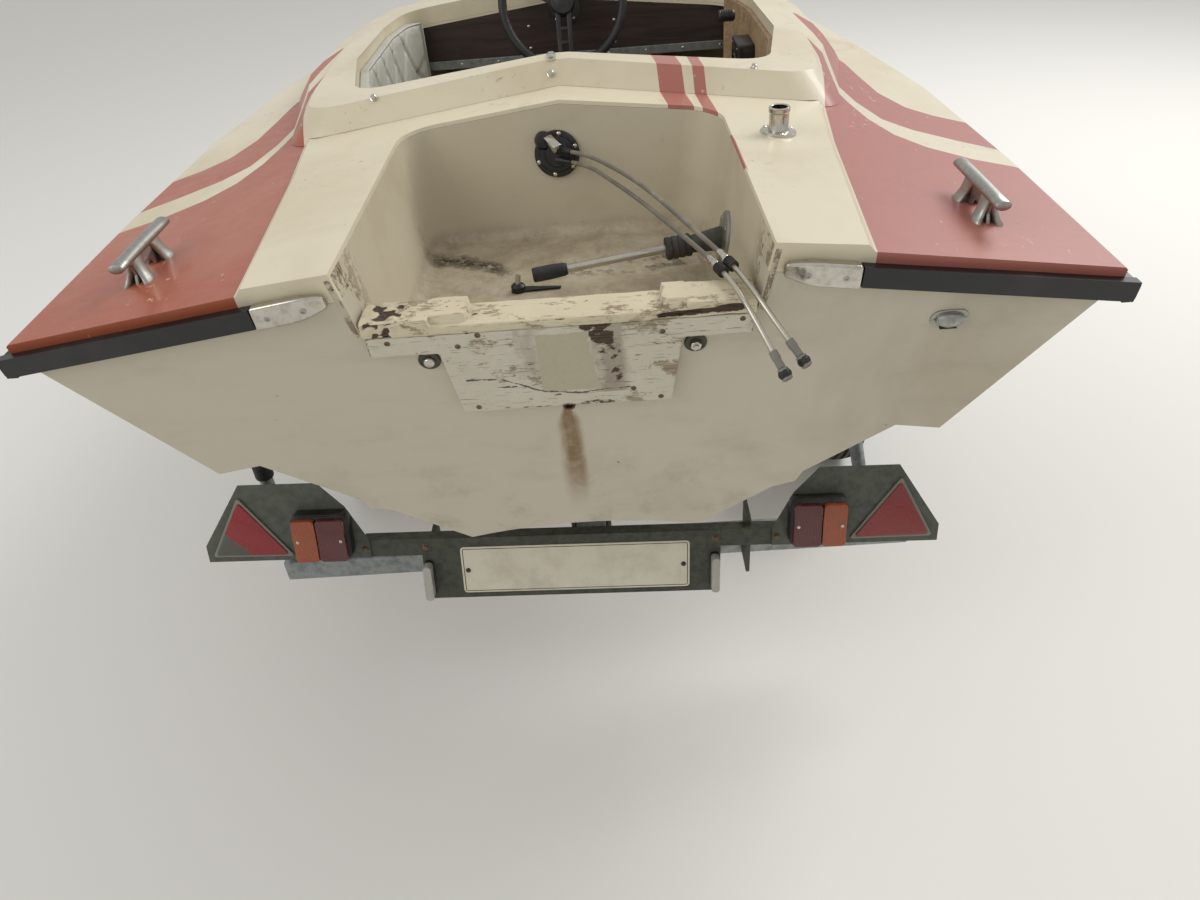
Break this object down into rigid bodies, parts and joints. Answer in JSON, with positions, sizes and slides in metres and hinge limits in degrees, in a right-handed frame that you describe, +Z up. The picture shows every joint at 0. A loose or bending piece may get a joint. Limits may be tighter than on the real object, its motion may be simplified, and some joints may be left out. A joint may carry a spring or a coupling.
{
  "type": "speedboat on road trailer",
  "caption": "Small open glass-fibre speedboat with motor well, coaming and bench, resting on a single-pole road trailer with a light board.",
  "frame": {"origin": "on the ground, under the middle of the bounding box of boat and trailer without the free cables", "axes": "+X to starboard, +Y forward to the coupling, +Z up"},
  "size_m": [1.6546, 5.0703, 1.47],
  "materials": {
    "gelcoat_hull": "dull gloss",
    "gelcoat_deck": "dull gloss",
    "gelcoat_well": "dull gloss",
    "rub_rubber": "matte",
    "bright_steel": "polished",
    "plywood": "matte",
    "grey_plastic": "matte",
    "black_plastic": "satin",
    "cable_jacket": "satin",
    "cast_alloy": "satin",
    "vinyl": "satin",
    "screen_acrylic": "polished",
    "galvanised_steel": "dull",
    "roller_rubber": "matte",
    "tyre_rubber": "matte",
    "painted_rim": "satin",
    "webbing": "woven",
    "painted_beam": "satin",
    "board_plastic": "satin",
    "plate_plastic": "gloss",
    "lamp_red": "gloss",
    "reflector_red": "gloss"
  },
  "bodies": {
    "boat_on_trailer": {"hull": "gelcoat_hull", "deck": "gelcoat_deck", "motor_well": "gelcoat_well", "coaming": "gelcoat_deck", "rub_rail": "rub_rubber", "rub_caps": "bright_steel", "cleats": "bright_steel", "pole_socket": "bright_steel", "transom_pad": "plywood", "clamp_board": "plywood", "transom_bolts": "bright_steel", "vent_cover": "grey_plastic", "cable_gland": "black_plastic", "cable_upper": "cable_jacket", "cable_lower": "cable_jacket", "cable_sleeves": "cable_jacket", "cable_ends": "black_plastic", "steering_guide": "cast_alloy", "sole": "plywood", "seat_base": "plywood", "seat_cushion": "vinyl", "back_cushion": "vinyl", "side_lining": "vinyl", "side_panel": "plywood", "dashboard": "gelcoat_deck", "dash_strip": "black_plastic", "steering_column": "black_plastic", "throttle": "black_plastic", "windscreen": "screen_acrylic", "screen_rail": "cast_alloy", "trailer_frame": "galvanised_steel", "rollers": "roller_rubber", "axle": "galvanised_steel", "mudguards": "black_plastic", "post_rubbers": "roller_rubber", "winch_frame": "galvanised_steel", "bow_eye": "bright_steel", "winch_strap": "webbing", "coupling": "cast_alloy", "jockey_tube": "galvanised_steel", "light_beam": "painted_beam", "lamp_boards": "board_plastic", "number_plate": "plate_plastic", "lamps": "lamp_red", "reflectors": "reflector_red"},
    "wheel_starboard": {"tyre_starboard": "tyre_rubber", "rim_starboard": "painted_rim"},
    "wheel_port": {"tyre_port": "tyre_rubber", "rim_port": "painted_rim"},
    "helm": {"steering_wheel": "black_plastic"},
    "rod": {"steering_rod": "bright_steel"},
    "winch": {"winch_drum": "galvanised_steel"},
    "leg": {"jockey_leg": "galvanised_steel"},
    "fork": {"jockey_fork": "galvanised_steel"},
    "jockey": {"jockey_wheel": "roller_rubber"}
  },
  "joints": [
    {"name": "wheel_spin_starboard", "type": "hinge", "parent": "boat_on_trailer", "child": "wheel_starboard", "pos_m": [0.72, -1.30328, 0.26], "axis": [1, 0, 0], "continuous": true},
    {"name": "wheel_spin_port", "type": "hinge", "parent": "boat_on_trailer", "child": "wheel_port", "pos_m": [-0.72, -1.30328, 0.26], "axis": [1, 0, 0], "continuous": true},
    {"name": "helm_turn", "type": "hinge", "parent": "boat_on_trailer", "child": "helm", "pos_m": [-0.012, -0.85328, 1.256], "axis": [0, -0.9397, 0.342], "range_deg": [-540, 540]},
    {"name": "rod_slide", "type": "slide", "parent": "boat_on_trailer", "child": "rod", "axis": [-0.9895, -0.1215, -0.0785], "range_m": [-0.1, 0.1]},
    {"name": "winch_turn", "type": "hinge", "parent": "boat_on_trailer", "child": "winch", "pos_m": [0, 1.74672, 0.9], "axis": [1, 0, 0], "continuous": true},
    {"name": "jockey_extend", "type": "slide", "parent": "boat_on_trailer", "child": "leg", "axis": [0, 0, -1], "range_m": [0, 0.18]},
    {"name": "jockey_swivel", "type": "hinge", "parent": "leg", "child": "fork", "pos_m": [0.095, 2.10672, 0.214], "axis": [0, 0, 1], "continuous": true},
    {"name": "jockey_spin", "type": "hinge", "parent": "fork", "child": "jockey", "pos_m": [0.095, 2.07672, 0.1], "axis": [1, 0, 0], "continuous": true}
  ],
  "couplings": [
    {"joint": "rod_slide", "follows": "helm_turn", "m_per_rad": 0.0106}
  ]
}
